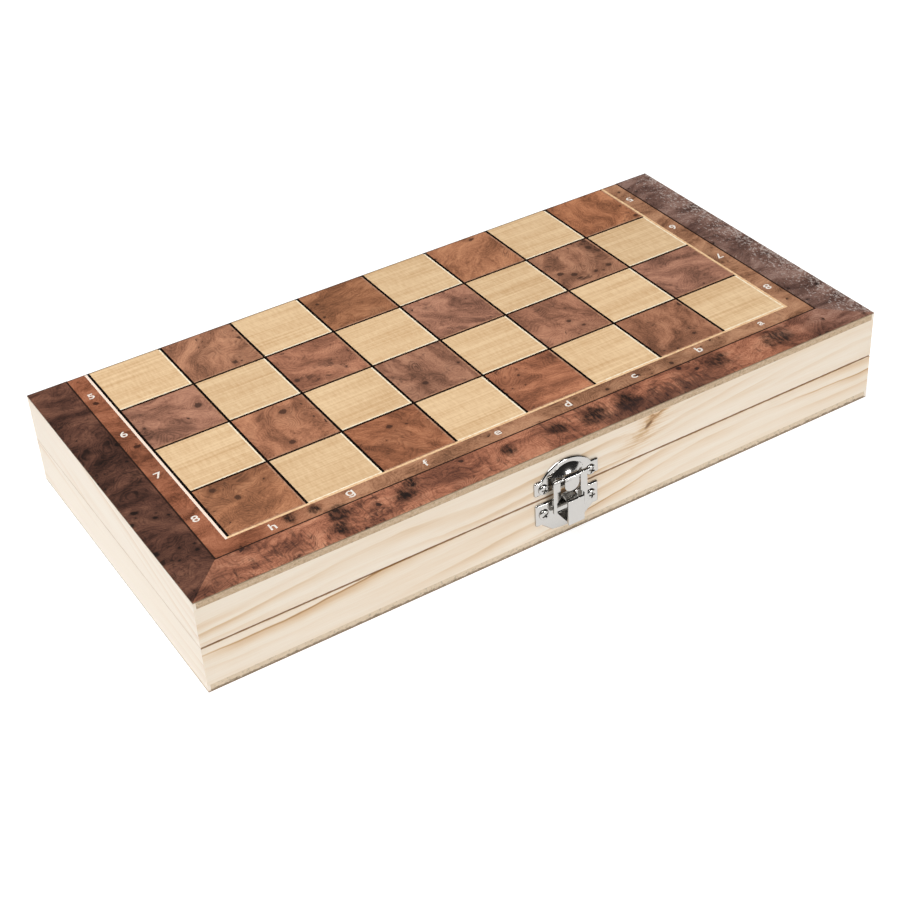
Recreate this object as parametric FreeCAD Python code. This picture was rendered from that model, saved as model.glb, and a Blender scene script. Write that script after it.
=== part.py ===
import FreeCAD, Part
import math
import os

V = FreeCAD.Vector

# Playing field: one half of a chessboard on the outside of each tray
square = 30.0
files = 8
ranks = 4
border = 24.0
dark_line = 1.0
light_line = 0.6
outline_line = 1.0
band_edge = 8.0

# Trays: pine rails, a thin panel, veneers outside and a backgammon sheet inside
half_height = 19.5
parting_gap = 0.1
rail_thick = 9.0
rim_ease = 0.25
end_lip = 1.0
panel_thick = 2.6
veneer_thick = 0.4
square_recess = 0.1
sheet_thick = 0.3
points_per_end = 6
point_length = 112.0
point_gap = 0.8

# Butt hinges let into the rims of the two back rails
hinge_spread = 85.0
hinge_length = 22.0
leaf_width = 7.4
leaf_thick = 0.8
knuckle_radius = 1.8
knuckle_count = 3
knuckle_gap = 0.2
notch_clear = 0.35
axis_behind = 0.3
pin_radius = 0.8
pin_clear = 0.05
hinge_screw_spread = 7.0
hinge_screw_head = 1.5
hinge_screw_shank = 0.7
hinge_screw_length = 5.5
screw_clear = 0.05
screw_head_sides = 16
screw_shank_sides = 8
screw_point = 1.6
screw_tip = 0.2

# Hasp plate on the lid, heights counted up from the parting plane
latch_metal = 0.9
plate_corner = 0.9
hasp_plate_width = 27.6
hasp_plate_low = 2.2
hasp_plate_shoulder = 8.4
arch_width = 21.4
arch_rise = 5.6
hood_width = 12.8
hood_clear = 0.1
hood_side = 8.9
hood_top = 12.2
hood_reach = 3.0
tongue_width = 6.2
tongue_low = 1.8
tongue_round_share = 0.95
tongue_metal = 0.6
curl_clear = 0.1
curl_end_angle = -40.0

# Hasp: a round bar, two legs, a window and a strip folded up in front for a pull
bar_radius = 0.7
bar_stand = 1.4
bar_height = 7.4
hasp_width = 14.6
hasp_gap = 1.3
window_width = 8.6
leg_low = 7.4
leg_rim = 1.4
leg_corner = 1.4
leg_splay = 1.7
pull_width = 7.0
pull_reach = 6.5
pull_top = 0.55
pull_low = 11.1

# Catch plate on the base, depths counted down from the parting plane
catch_plate_width = 27.2
catch_plate_top = 1.6
catch_plate_side = 11.1
catch_plate_low = 15.8
lobe_width = 13.4
lobe_side = 15.0
lobe_shoulder = 2.4
catch_width = 5.0
catch_root_rise = 0.3
catch_tip_inset = 0.5
catch_tip_depth = 2.6

# Latch screws
latch_screw_spread = 10.2
hasp_screw_height = 4.7
catch_screw_depth = 6.3
latch_screw_head = 2.1
latch_screw_crown = 1.4
latch_screw_rim = 0.4
latch_screw_rise = 1.0
latch_screw_shank = 1.0
latch_screw_length = 6.5
cross_width = 0.5
cross_depth = 0.5

# Overrun of every cutting body past the face that it cuts
overrun = 1.0

# Sizes that follow from the ones above
field_width = files * square
field_depth = ranks * square
box_length = field_width + 2 * border
box_width = field_depth + border
knuckle_reach = axis_behind + knuckle_radius
front_y = (pull_reach - knuckle_reach - box_width) / 2
back_y = front_y + box_width
middle_y = (front_y + back_y) / 2
parting_z = half_height
rim_z = parting_z - parting_gap / 2
floor_z = veneer_thick + panel_thick
panel_reach = box_length / 2 - end_lip
axis_y = back_y + axis_behind
hinge_screw_y = axis_y - (leaf_width + knuckle_radius + knuckle_gap) / 2
bar_out = latch_metal + bar_stand + bar_radius
hood_low = bar_height + bar_radius + hood_clear
hasp_back = latch_metal + hasp_gap
hasp_front = hasp_back + latch_metal


def block(x0, x1, y0, y1, z0, z1):
    return Part.makeBox(x1 - x0, y1 - y0, z1 - z0, V(x0, y0, z0))


def slab(outline, z0, z1):
    """Solid over a plan outline of (x, y) points, between two heights."""
    corners = [V(x, y, z0) for x, y in outline]
    wire = Part.makePolygon(corners + corners[:1])
    return Part.Face(wire).extrude(V(0, 0, z1 - z0))


def rod(radius, x0, x1, y, z):
    """Round bar along X."""
    return Part.makeCylinder(radius, x1 - x0, V(x0, y, z), V(1, 0, 0))


def to_lid(shape):
    """The lid's copy of a base piece, mirrored in the parting plane."""
    return shape.mirror(V(0, 0, parting_z), V(0, 0, 1))


def fused(first, *others):
    return first.fuse(list(others)).removeSplitter()


def rail_bar(length):
    """Mitred bar along X with its outer face at y = 0 and its rim edges eased."""
    section = [
        (0, floor_z),
        (rail_thick, floor_z),
        (rail_thick, rim_z - rim_ease),
        (rail_thick - rim_ease, rim_z),
        (rim_ease, rim_z),
        (0, rim_z - rim_ease),
    ]
    corners = [V(-length / 2, y, z) for y, z in section]
    bar = Part.Face(Part.makePolygon(corners + corners[:1])).extrude(V(length, 0, 0))
    plan = [
        (-length / 2, 0),
        (length / 2, 0),
        (length / 2 - rail_thick, rail_thick),
        (-length / 2 + rail_thick, rail_thick),
    ]
    return bar.common(slab(plan, floor_z, rim_z))


def placed(bar, turn, x, y):
    bar.rotate(V(0, 0, 0), V(0, 0, 1), turn)
    bar.translate(V(x, y, 0))
    return bar


def back_rail():
    """Back rail with the two leaf mortises, the knuckle notches and the screw holes."""
    rail = placed(rail_bar(box_length), 180, 0, back_y)
    reach = hinge_length / 2 + notch_clear
    inner_y = axis_y - leaf_width - notch_clear
    outer_y = back_y + overrun
    seat_z = rim_z - leaf_thick
    for side in (-1, 1):
        x = side * hinge_spread
        mortise = block(x - reach, x + reach, inner_y, outer_y, seat_z, rim_z + overrun)
        notch = rod(knuckle_radius + notch_clear, x - reach, x + reach, axis_y, parting_z)
        rail = rail.cut([mortise, notch] + hinge_screw_holes(x))
    return rail


def hinge_screw_places(x):
    return [x - hinge_screw_spread, x + hinge_screw_spread]


def hinge_screw_holes(x):
    radius = hinge_screw_shank + screw_clear
    depth = hinge_screw_length + overrun
    return [
        Part.makeCylinder(radius, depth, V(hole_x, hinge_screw_y, rim_z - depth))
        for hole_x in hinge_screw_places(x)
    ]


def front_rail(screw_z):
    rail = placed(rail_bar(box_length), 0, 0, front_y)
    return rail.cut(latch_screw_holes(screw_z))


def side_rail(side):
    """End rail with the thin lip that covers the end of the panel."""
    bar = placed(rail_bar(box_width), side * 90, side * box_length / 2, middle_y)
    ends = sorted([side * panel_reach, side * box_length / 2])
    return fused(bar, block(*ends, front_y, back_y, veneer_thick, floor_z))


def panel():
    return block(-panel_reach, panel_reach, front_y, back_y, veneer_thick, floor_z)


def tile(column, row, low, high, past_back):
    """One chess square inside its dark and light lines; the back row reaches the hinge edge."""
    left = column * square - field_width / 2
    far = back_y - row * square
    back_margin = dark_line if row else -past_back
    return block(
        left + dark_line,
        left + square - light_line,
        far - square + light_line,
        far - back_margin,
        low,
        high,
    )


def tiles(parity):
    """The squares of one colour: column plus row is even or odd."""
    return Part.makeCompound([
        tile(column, row, square_recess, veneer_thick, 0)
        for column in range(files)
        for row in range(ranks)
        if (column + row) % 2 == parity
    ])


def line_inlay():
    """The lattice of lines between the squares and the outline round them."""
    reach = field_width / 2 + outline_line
    near = back_y - field_depth - outline_line
    sheet = block(-reach, reach, near, back_y, square_recess, veneer_thick)
    windows = [
        tile(column, row, square_recess - overrun, veneer_thick + overrun, overrun)
        for column in range(files)
        for row in range(ranks)
    ]
    return sheet.cut(windows)


def mitred_strips(inner, outer, low):
    """Left, front and right strip round the field, between two distances from its edge."""
    x_in = field_width / 2 + inner
    x_out = field_width / 2 + outer
    y_in = back_y - field_depth - inner
    y_out = back_y - field_depth - outer
    left = [(-x_in, back_y), (-x_in, y_in), (-x_out, y_out), (-x_out, back_y)]
    front = [(-x_in, y_in), (x_in, y_in), (x_out, y_out), (-x_out, y_out)]
    right = [(x_in, back_y), (x_in, y_in), (x_out, y_out), (x_out, back_y)]
    return Part.makeCompound([slab(plan, low, veneer_thick) for plan in (left, front, right)])


# Inside of the trays
tray_x = box_length / 2 - rail_thick
tray_front = front_y + rail_thick
tray_back = back_y - rail_thick
point_pitch = (tray_back - tray_front) / points_per_end


def point_outline(end, index):
    """Triangle of one backgammon point: its base on a side rail, its tip towards the middle."""
    low = tray_front + index * point_pitch + point_gap / 2
    high = tray_front + (index + 1) * point_pitch - point_gap / 2
    base_x = end * tray_x
    tip_x = end * (tray_x - point_length)
    return [(base_x, low), (tip_x, (low + high) / 2), (base_x, high)]


def backgammon_points(parity):
    return Part.makeCompound([
        slab(point_outline(end, index), floor_z, floor_z + sheet_thick)
        for end in (-1, 1)
        for index in range(points_per_end)
        if (index + (end > 0)) % 2 == parity
    ])


def backgammon_field():
    """Floor sheet whose two ends are notched to take the points."""
    outline = [(-tray_x, tray_front)]
    for index in range(points_per_end):
        outline += point_outline(-1, index)
    outline += [(-tray_x, tray_back), (tray_x, tray_back)]
    for index in reversed(range(points_per_end)):
        outline += reversed(point_outline(1, index))
    outline += [(tray_x, tray_front)]
    return slab(outline, floor_z, floor_z + sheet_thick)


def hinge_leaf(x, knuckles):
    """Base leaf of a hinge at x: a plate, its own knuckles on the axis and two sunk screw holes."""
    start = x - hinge_length / 2
    pitch = hinge_length / knuckle_count
    low = rim_z - leaf_thick
    plate_back = axis_y - knuckle_radius - knuckle_gap
    leaf = block(start, start + hinge_length, axis_y - leaf_width, plate_back, low, rim_z)
    for index in knuckles:
        x0 = start + index * pitch + knuckle_gap / 2
        x1 = start + (index + 1) * pitch - knuckle_gap / 2
        web = block(x0, x1, axis_y - leaf_width, axis_y, low, rim_z)
        leaf = leaf.fuse([web, rod(knuckle_radius, x0, x1, axis_y, parting_z)])
    bore = rod(pin_radius + pin_clear, start - overrun, start + hinge_length + overrun, axis_y, parting_z)
    sinks = [sunk_hole(hole_x) for hole_x in hinge_screw_places(x)]
    return leaf.removeSplitter().cut([bore] + sinks + hinge_screw_holes(x))


def sunk_hole(x):
    """Cone in a leaf that takes a sunk screw head."""
    small = hinge_screw_shank + screw_clear
    big = hinge_screw_head + screw_clear
    return Part.makeCone(small, big, leaf_thick, V(x, hinge_screw_y, rim_z - leaf_thick))


def screw_piece(sides, levels, seat, way):
    """Many-sided solid through (radius, distance) levels that start at a seat and go one way."""
    turns = [2 * math.pi * side / sides for side in range(sides + 1)]
    rings = [
        [V(radius * math.cos(turn), radius * math.sin(turn), distance) for turn in turns]
        for radius, distance in levels
    ]
    outlines = [rings[0], rings[-1]]
    for near, far in zip(rings, rings[1:]):
        for side in range(sides):
            outlines.append([near[side], near[side + 1], far[side + 1], far[side], near[side]])
    faces = [Part.Face(Part.makePolygon(outline)) for outline in outlines]
    piece = Part.makeSolid(Part.makeShell(faces))
    piece.Placement = FreeCAD.Placement(seat, FreeCAD.Rotation(V(0, 0, 1), way))
    return piece


def screw_shank(radius, length, seat, way):
    levels = [(radius, 0), (radius, length - screw_point), (screw_tip, length)]
    return screw_piece(screw_shank_sides, levels, seat, way)


def hinge_screw(x):
    """Sunk-head screw, flush with the leaf, through it into the rail."""
    seat = V(x, hinge_screw_y, rim_z - leaf_thick)
    levels = [(hinge_screw_shank, 0), (hinge_screw_head, leaf_thick)]
    head = screw_piece(screw_head_sides, levels, seat, V(0, 0, 1))
    shank = screw_shank(hinge_screw_shank, hinge_screw_length - leaf_thick, seat, V(0, 0, -1))
    return fused(head, shank)


def hinge_pin(x):
    return rod(pin_radius, x - hinge_length / 2, x + hinge_length / 2, axis_y, parting_z)


def latch_point(x, out, up):
    """Point on the latch: along the box, out from its front face, up from the parting plane."""
    return V(x, front_y - out, parting_z + up)


def latch_block(x0, x1, out0, out1, up0, up1):
    return block(x0, x1, front_y - out1, front_y - out0, parting_z + up0, parting_z + up1)


def rounded_wire(corners, place):
    """Closed wire through (a, b, radius) corners, each rounded to its radius."""
    flat = [V(a, b, 0) for a, b, radius in corners]
    starts = []
    edges = []
    for index, (a, b, radius) in enumerate(corners):
        here = flat[index]
        before = (flat[index - 1] - here).normalize()
        after = (flat[(index + 1) % len(flat)] - here).normalize()
        half = before.getAngle(after) / 2
        cut = radius / math.tan(half)
        inward = (before + after).normalize()
        middle = here + inward * (radius / math.sin(half) - radius)
        starts.append((here + before * cut, middle, here + after * cut, radius))
    for index, (first, middle, last, radius) in enumerate(starts):
        if radius:
            arc = Part.Arc(*[place(p.x, p.y) for p in (first, middle, last)])
            edges.append(arc.toShape())
        onward = starts[(index + 1) % len(starts)][0]
        edges.append(Part.makeLine(place(last.x, last.y), place(onward.x, onward.y)))
    return Part.Wire(edges)


def front_plate(corners, out0, out1):
    """Plate parallel to the front face, from an outline of (x, up, radius) corners."""
    wire = rounded_wire(corners, lambda x, up: latch_point(x, out0, up))
    return Part.Face(wire).extrude(V(0, out0 - out1, 0))


def side_prism(outline, width):
    """Solid of an (out, up) outline, centred on the latch and as wide as given."""
    corners = [latch_point(-width / 2, out, up) for out, up in outline]
    return Part.Face(Part.makePolygon(corners + corners[:1])).extrude(V(width, 0, 0))


def arch_disc(half_chord, rise, top, out):
    """Round disc on the front face whose top is at a height and whose chord lies a rise below."""
    radius = (half_chord ** 2 + rise ** 2) / (2 * rise)
    centre = latch_point(0, 0, top - radius)
    return Part.makeCylinder(radius, out, centre, V(0, -1, 0))


def hasp_plate():
    """Arched plate with a round hood and the tongue that curls round the hasp's bar."""
    half = hasp_plate_width / 2
    foot = front_plate([
        (-half, hasp_plate_low, plate_corner),
        (half, hasp_plate_low, plate_corner),
        (half, hasp_plate_shoulder, plate_corner),
        (-half, hasp_plate_shoulder, plate_corner),
    ], 0, latch_metal)
    top = hasp_plate_shoulder + arch_rise
    arch = arch_disc(arch_width / 2, arch_rise, top, latch_metal).common(
        latch_block(-half, half, 0, latch_metal, hasp_plate_low, top))
    plate = fused(foot, arch, hood(), tongue())
    return plate.cut(latch_screw_holes(parting_z + hasp_screw_height))


def hood():
    """Raised half-moon over the bar: the upper part of a round cap, cut off level above the bar."""
    rise = hood_top - hood_side
    round_radius = ((hood_width / 2) ** 2 + rise ** 2) / (2 * rise)
    ball_radius = (round_radius ** 2 + hood_reach ** 2) / (2 * hood_reach)
    depth = latch_metal + hood_reach - ball_radius
    ball = Part.makeSphere(ball_radius, latch_point(0, depth, hood_top - round_radius))
    return ball.common(latch_block(
        -round_radius, round_radius, latch_metal / 2, latch_metal + hood_reach, hood_low, hood_top))


def tongue():
    """Strip that leaves the plate, curls over the bar and hangs in front of the window."""
    inner = bar_radius + curl_clear
    outer = inner + tongue_metal
    y = front_y - bar_out
    z = parting_z + bar_height
    half = tongue_width / 2
    root = side_prism([
        (0, bar_height),
        (bar_out, bar_height),
        (bar_out, bar_height + outer),
        (0, bar_height + outer),
    ], tongue_width)
    far = 2 * outer
    end = math.radians(curl_end_angle)
    opening = [
        (bar_out, bar_height),
        (bar_out + far * math.cos(end), bar_height + far * math.sin(end)),
        (bar_out, bar_height - 2 * far),
        (bar_out - far, bar_height - far),
        (bar_out - far, bar_height),
    ]
    curl = rod(outer, -half, half, y, z).cut(side_prism(opening, tongue_width))
    bore = rod(inner, -half, half, y, z)
    leg_out = bar_out + inner * math.cos(end)
    leg_top = bar_height + inner * math.sin(end)
    leg = front_plate([
        (-half, tongue_low, half * tongue_round_share),
        (half, tongue_low, half * tongue_round_share),
        (half, leg_top, 0),
        (-half, leg_top, 0),
    ], leg_out, leg_out + tongue_metal * math.cos(end))
    return fused(fused(root, curl).cut(bore), leg)


def hasp():
    """Bar, two legs with the window between them and the pull folded up in front of it."""
    half = hasp_width / 2
    flat = front_plate([
        (-half, -leg_low, leg_corner),
        (half, -leg_low, leg_corner),
        (half, bar_height, 0),
        (-half, bar_height, 0),
    ], hasp_back, hasp_front)
    upper = window_width / 2
    lower = half - leg_rim
    foot = latch_metal - leg_low
    window = front_plate([
        (-lower, foot, 0),
        (lower, foot, 0),
        (lower, -pull_top - leg_splay, 0),
        (upper, -pull_top, 0),
        (upper, bar_height, 0),
        (-upper, bar_height, 0),
        (-upper, -pull_top, 0),
        (-lower, -pull_top - leg_splay, 0),
    ], hasp_back, hasp_front)
    bar = rod(bar_radius, -half, half, front_y - bar_out, parting_z + bar_height)
    return fused(flat.cut(window), pull(), bar)


def pull():
    """Strip that runs forward from the foot of the legs and turns up, open at both sides."""
    leaf_back = pull_reach - latch_metal
    strip = side_prism([
        (hasp_front, -leg_low),
        (pull_reach, -pull_low),
        (pull_reach, -pull_top),
        (leaf_back, -pull_top),
        (leaf_back, latch_metal * math.sqrt(2) - pull_low),
        (hasp_front, latch_metal - leg_low),
    ], hasp_width)
    foot_half = hasp_width / 2 - leg_rim
    leaf_half = pull_width / 2
    plan = [
        (-foot_half, front_y - hasp_front),
        (-leaf_half, front_y - leaf_back),
        (-leaf_half, front_y - pull_reach),
        (leaf_half, front_y - pull_reach),
        (leaf_half, front_y - leaf_back),
        (foot_half, front_y - hasp_front),
    ]
    return strip.common(slab(plan, parting_z - pull_low, parting_z - pull_top))


def catch_plate():
    """Plate with a lobed foot and the tongue that reaches through the hasp's window."""
    half = catch_plate_width / 2
    body = front_plate([
        (-half, -catch_plate_side, plate_corner),
        (half, -catch_plate_side, plate_corner),
        (half, -catch_plate_top, plate_corner),
        (-half, -catch_plate_top, plate_corner),
    ], 0, latch_metal)
    lobe_half = lobe_width / 2
    shoulder = half - lobe_shoulder
    corners = [
        latch_point(-lobe_half, 0, -lobe_side),
        latch_point(-shoulder, 0, -catch_plate_side),
        latch_point(shoulder, 0, -catch_plate_side),
        latch_point(lobe_half, 0, -lobe_side),
    ]
    bottom = Part.Arc(corners[3], latch_point(0, 0, -catch_plate_low), corners[0]).toShape()
    lobe = Part.Face(Part.Wire(Part.makePolygon(corners).Edges + [bottom])).extrude(V(0, -latch_metal, 0))
    plate = fused(body, lobe, catch_tongue())
    return plate.cut(latch_screw_holes(parting_z - catch_screw_depth))


def catch_tongue():
    """Tongue that bends out of the plate's top edge and slopes down into the pull's pocket."""
    tip = pull_reach - latch_metal - catch_tip_inset
    tip_under = -catch_tip_depth
    outline = [
        (0, -catch_plate_top - latch_metal),
        (0, -catch_root_rise - latch_metal / 2),
        (latch_metal / 2, -catch_root_rise),
        (latch_metal, -catch_root_rise),
        (tip, tip_under + latch_metal),
        (tip, tip_under),
        (latch_metal, -catch_root_rise - latch_metal),
        (latch_metal, -catch_plate_top - latch_metal),
    ]
    return side_prism(outline, catch_width)


def latch_screw_holes(z):
    radius = latch_screw_shank + screw_clear
    start = front_y - latch_metal - overrun
    length = latch_screw_length + overrun
    return [
        Part.makeCylinder(radius, length, V(side * latch_screw_spread, start, z), V(0, 1, 0))
        for side in (-1, 1)
    ]


def latch_screw(x, z):
    """Pan-head screw on the plate: a rim, a bevelled crown with a cross recess, and the shank."""
    seat = V(x, front_y - latch_metal, z)
    levels = [
        (latch_screw_head, 0),
        (latch_screw_head, latch_screw_rim),
        (latch_screw_crown, latch_screw_rise),
    ]
    head = screw_piece(screw_head_sides, levels, seat, V(0, -1, 0))
    shank = screw_shank(latch_screw_shank, latch_screw_length, seat, V(0, 1, 0))
    arm = latch_screw_crown
    slot = cross_width / 2
    top = seat.y - latch_screw_rise - overrun
    bottom = seat.y - latch_screw_rise + cross_depth
    cross = [
        block(x - arm, x + arm, top, bottom, z - slot, z + slot),
        block(x - slot, x + slot, top, bottom, z - arm, z + arm),
    ]
    return fused(head, shank).cut(cross)


def latch_screws(z):
    return Part.makeCompound([latch_screw(side * latch_screw_spread, z) for side in (-1, 1)])


def tray_pieces(name, turned, dark_parity, screw_z):
    """All wooden pieces of one tray; the lid's are mirrored copies of the base's."""
    pieces = {
        "back_rail": back_rail(),
        "left_rail": side_rail(-1),
        "right_rail": side_rail(1),
        "panel": panel(),
        "dark_squares": tiles(dark_parity),
        "light_squares": tiles(1 - dark_parity),
        "line_inlay": line_inlay(),
        "coordinate_band": mitred_strips(outline_line, band_edge, square_recess),
        "border_veneer": mitred_strips(band_edge, border, 0),
        "backgammon_field": backgammon_field(),
        "dark_points": backgammon_points(dark_parity),
        "light_points": backgammon_points(1 - dark_parity),
    }
    named = {f"{name}_{piece}": turned(shape) for piece, shape in pieces.items()}
    named[f"{name}_front_rail"] = turned(front_rail(screw_z))
    return named


def hinge_pieces():
    named = {}
    screws = []
    for side, x in (("left", -hinge_spread), ("right", hinge_spread)):
        named[f"hinge_{side}_base_leaf"] = hinge_leaf(x, range(0, knuckle_count, 2))
        named[f"hinge_{side}_lid_leaf"] = to_lid(hinge_leaf(x, range(1, knuckle_count, 2)))
        named[f"hinge_{side}_pin"] = hinge_pin(x)
        screws += [hinge_screw(screw_x) for screw_x in hinge_screw_places(x)]
    named["base_hinge_screws"] = Part.makeCompound(screws)
    named["lid_hinge_screws"] = to_lid(Part.makeCompound(screws))
    return named


def latch_pieces():
    return {
        "latch_hasp_plate": hasp_plate(),
        "latch_hasp": hasp(),
        "latch_catch_plate": catch_plate(),
        "latch_hasp_plate_screws": latch_screws(parting_z + hasp_screw_height),
        "latch_catch_plate_screws": latch_screws(parting_z - catch_screw_depth),
    }


def unturned(shape):
    return shape


def main():
    os.makedirs("parts", exist_ok=True)
    pieces = tray_pieces("base", unturned, 0, parting_z - catch_screw_depth)
    pieces.update(tray_pieces("lid", to_lid, 1, parting_z - hasp_screw_height))
    pieces.update(hinge_pieces())
    pieces.update(latch_pieces())
    for name, shape in pieces.items():
        shape.exportStep(f"parts/{name}.step")
        print(name, len(shape.Solids), "solids", round(shape.Volume, 2), "mm3", shape.isValid())


main()
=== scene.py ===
# %% [markdown]
# # A folding chess and backgammon board, closed
# The object is a flat box of two hinged trays. Half of a chessboard is on the outside of each
# tray, and the backgammon points are inside. The parts come from the CAD model, in metres and
# already in place, so this lesson adds what CAD doesn't carry: wood figure, lines, lettering,
# polished metal, light and a camera.

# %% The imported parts
import math
import bmesh
import bpy
from mathutils import Matrix, Vector


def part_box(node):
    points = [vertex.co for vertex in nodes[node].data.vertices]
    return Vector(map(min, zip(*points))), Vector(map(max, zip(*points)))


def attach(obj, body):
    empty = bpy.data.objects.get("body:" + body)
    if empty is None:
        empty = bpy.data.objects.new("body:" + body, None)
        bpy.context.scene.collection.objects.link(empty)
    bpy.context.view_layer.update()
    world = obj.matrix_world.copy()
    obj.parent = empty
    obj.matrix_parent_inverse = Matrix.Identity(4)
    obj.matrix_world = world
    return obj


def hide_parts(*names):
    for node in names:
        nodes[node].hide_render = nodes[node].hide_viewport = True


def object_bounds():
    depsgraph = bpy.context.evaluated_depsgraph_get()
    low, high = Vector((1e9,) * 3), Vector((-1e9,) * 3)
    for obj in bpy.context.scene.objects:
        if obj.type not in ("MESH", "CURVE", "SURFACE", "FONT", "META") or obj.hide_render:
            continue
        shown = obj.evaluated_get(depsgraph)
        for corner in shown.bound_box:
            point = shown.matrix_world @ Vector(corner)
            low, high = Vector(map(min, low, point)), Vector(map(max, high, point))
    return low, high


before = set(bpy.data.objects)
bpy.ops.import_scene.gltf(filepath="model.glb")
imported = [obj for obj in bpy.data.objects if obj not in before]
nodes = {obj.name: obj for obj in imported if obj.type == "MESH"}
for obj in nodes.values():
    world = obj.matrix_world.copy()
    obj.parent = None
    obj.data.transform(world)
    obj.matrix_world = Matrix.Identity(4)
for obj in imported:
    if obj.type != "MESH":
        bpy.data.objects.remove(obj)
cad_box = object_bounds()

# %% [markdown]
# ## Sizes of the board
# A board maker works from the square outwards. The sizes below are read from the parts, so the
# printed figure follows the CAD model when that changes. Lengths are in millimetres, because the
# patterns in wood are easier to judge that way, and only meshes use metres.

# %% Sizes read from the parts
MM = 0.001
FILES = 8
RANKS = 4
# Width of the cream outline round the field, which no part's box tells.
OUTLINE = 1.0


def box_mm(node):
    """Lowest and highest corner of a part in millimetres."""
    low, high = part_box(node)
    return low / MM, high / MM


inlay_low, inlay_high = box_mm("lid_line_inlay")
tiles_low = box_mm("lid_light_squares")[0]
band_low, band_high = box_mm("lid_coordinate_band")
edge_low, edge_high = box_mm("lid_border_veneer")
UNDERSIDE = box_mm("base_border_veneer")[0].z
FIELD_LEFT = inlay_low.x + OUTLINE
FIELD_BACK = inlay_high.y
SQUARE = (inlay_high.x - inlay_low.x - 2 * OUTLINE) / FILES
DARK_LINE = tiles_low.x - FIELD_LEFT
FIELD_FRONT = FIELD_BACK - RANKS * SQUARE
BAND_EDGE = FIELD_LEFT - band_low.x
PARTING = (UNDERSIDE + edge_high.z) / 2
print(f"square {SQUARE:.1f} mm, dark line {DARK_LINE:.2f} mm, the trays part at {PARTING:.2f} mm")

# %% [markdown]
# ## Camera
# The photograph looks down on the box from the front left. The eye, the direction and the lens
# below were found by matching the box's corners and the corners of the squares to the picture.

# %% Camera
EYE = Vector((-0.28381, -0.48289, 0.40595))
LOOK = Vector((0.40194, 0.69935, -0.59106))
RIGHT = Vector((0.84572, -0.53098, -0.05314))
LENS_MM = 70.99
SENSOR_MM = 36.0


def in_scene(thing):
    """Puts an object into the scene."""
    bpy.context.scene.collection.objects.link(thing)
    return thing


def place_camera():
    data = bpy.data.cameras.new("photo_camera")
    data.lens = LENS_MM
    data.sensor_width = SENSOR_MM
    data.sensor_fit = "HORIZONTAL"
    camera = in_scene(bpy.data.objects.new("photo_camera", data))
    up = RIGHT.cross(LOOK)
    turn = Matrix((RIGHT, up, -LOOK)).transposed().to_4x4()
    camera.matrix_world = Matrix.Translation(EYE) @ turn
    bpy.context.scene.camera = camera
    return camera


print("camera", place_camera().name, "lens", LENS_MM, "mm")

# %% [markdown]
# ## Shader arithmetic
# Wood figure is mostly arithmetic on noise. A small class wraps a socket, so that an expression
# such as `1 - mask` adds the nodes by itself. Every other node comes from one method, which takes
# the node's type, its settings and the values of its sockets.

# %% Sockets as Python values
class Socket:
    """A shader socket that takes part in Python expressions."""

    def __init__(self, tree, link):
        self.tree = tree
        self.link = link

    def node(self, kind, settings=None, inputs=None, output=0):
        family = "" if kind.startswith(("Geometry", "Function")) else "ShaderNode"
        made = self.tree.nodes.new(family + kind)
        for name, value in (settings or {}).items():
            if name == "stops":
                set_stops(made.color_ramp, value)
            else:
                setattr(made, name, value)
        for name, value in (inputs or {}).items():
            feed(self.tree, made.inputs[name], value)
        return Socket(self.tree, made.outputs[output])

    def math(self, operation, *values):
        return self.node("Math", {"operation": operation}, dict(enumerate(values)))

    def vector(self, operation, *values):
        return self.node("VectorMath", {"operation": operation}, dict(enumerate(values)))

    def __add__(self, other):
        return self.math("ADD", self, other)

    def __sub__(self, other):
        return self.math("SUBTRACT", self, other)

    def __rsub__(self, other):
        return self.math("SUBTRACT", other, self)

    def __mul__(self, other):
        return self.math("MULTIPLY", self, other)

    def __truediv__(self, other):
        return self.math("DIVIDE", self, other)

    def __gt__(self, other):
        return self.math("GREATER_THAN", self, other)

    def __lt__(self, other):
        return self.math("LESS_THAN", self, other)

    def __mod__(self, other):
        return self.math("FLOORED_MODULO", self, other)

    def __floordiv__(self, other):
        return self.math("FLOOR", self / other)

    __radd__ = __add__
    __rmul__ = __mul__


def feed(tree, socket, value):
    """Links or sets a socket; a list links several values to one socket."""
    if isinstance(value, list):
        for single in value:
            feed(tree, socket, single)
    elif isinstance(value, Socket):
        tree.links.new(value.link, socket)
    else:
        socket.default_value = value


def set_stops(ramp, stops):
    """Colour stops of a ramp as (position, colour) pairs."""
    while len(ramp.elements) < len(stops):
        ramp.elements.new(1.0)
    for element, (position, colour) in zip(ramp.elements, stops):
        element.position = position
        element.color = colour


print("socket class ready")

# %% [markdown]
# ## Words for wood
# These helpers are the vocabulary of the finishes: a noise with a grain size in millimetres, a
# soft step, a mix of two colours and a split of a place into its three numbers. Colours are
# given as the 0-255 values that a colour picker shows.

# %% Places and distances
def twin(socket, name):
    """Another output of the node that a socket belongs to."""
    return Socket(socket.tree, socket.link.node.outputs[name])


def split(point):
    first = point.node("SeparateXYZ", inputs={0: point})
    return [twin(first, axis) for axis in "XYZ"]


def joined(point, x, y, z):
    return point.node("CombineXYZ", inputs={0: x, 1: y, 2: z})


def scaled(vector, factor):
    return vector.node("VectorMath", {"operation": "SCALE"}, {0: vector, "Scale": factor})


def stretched(point, x, y, z):
    """A place whose axes are multiplied; a factor below 1 draws a pattern out along that axis."""
    return point.vector("MULTIPLY", point, (x, y, z))


def distance(first, second):
    inputs = {0: first, 1: second}
    return first.node("VectorMath", {"operation": "DISTANCE"}, inputs, output="Value")


print("places can be split, joined, scaled and stretched")


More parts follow.
